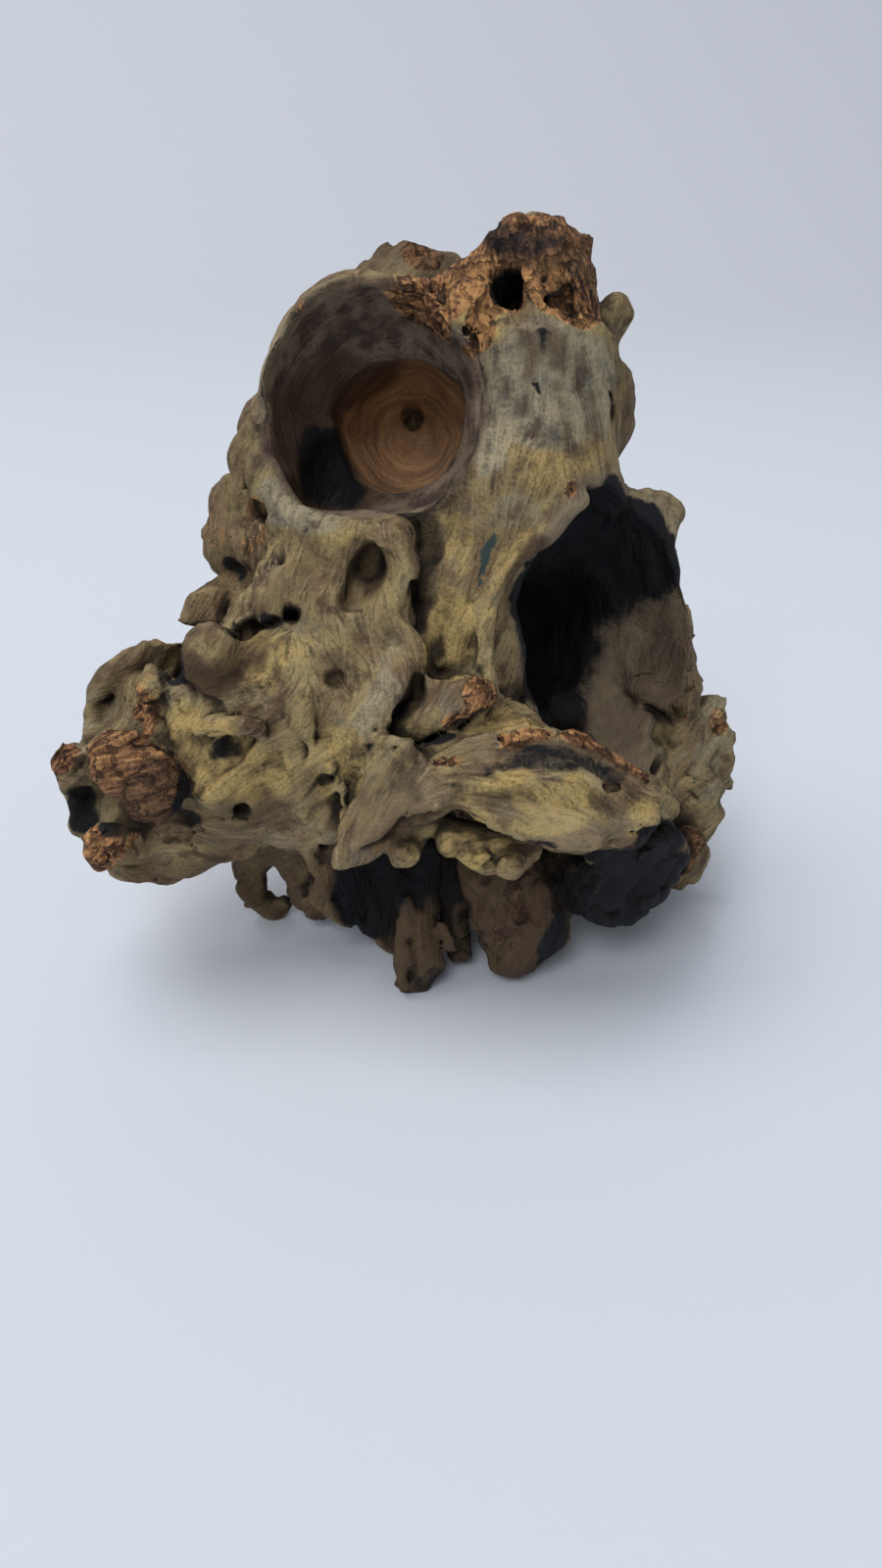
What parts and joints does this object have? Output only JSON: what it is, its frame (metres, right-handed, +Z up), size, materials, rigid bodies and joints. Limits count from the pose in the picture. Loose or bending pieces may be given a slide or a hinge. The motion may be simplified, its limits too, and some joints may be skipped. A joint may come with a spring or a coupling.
{
  "type": "driftwood",
  "caption": "Weathered driftwood root knot with a deep round bowl, a broken upright neck, a wide cave and a thick rotten arm, standing on the tips of its roots.",
  "frame": {"origin": "middle of the bounding box's floor, level with the feet", "axes": "+Z up, the bowl and the cave open towards -Y, the thick arm reaches towards -X"},
  "size_m": [0.1826, 0.1154, 0.1846],
  "materials": {
    "wood": "dry weathered wood, grey green to ochre with orange rot and charred black places"
  },
  "bodies": {
    "root": {"driftwood": "wood"}
  },
  "joints": []
}
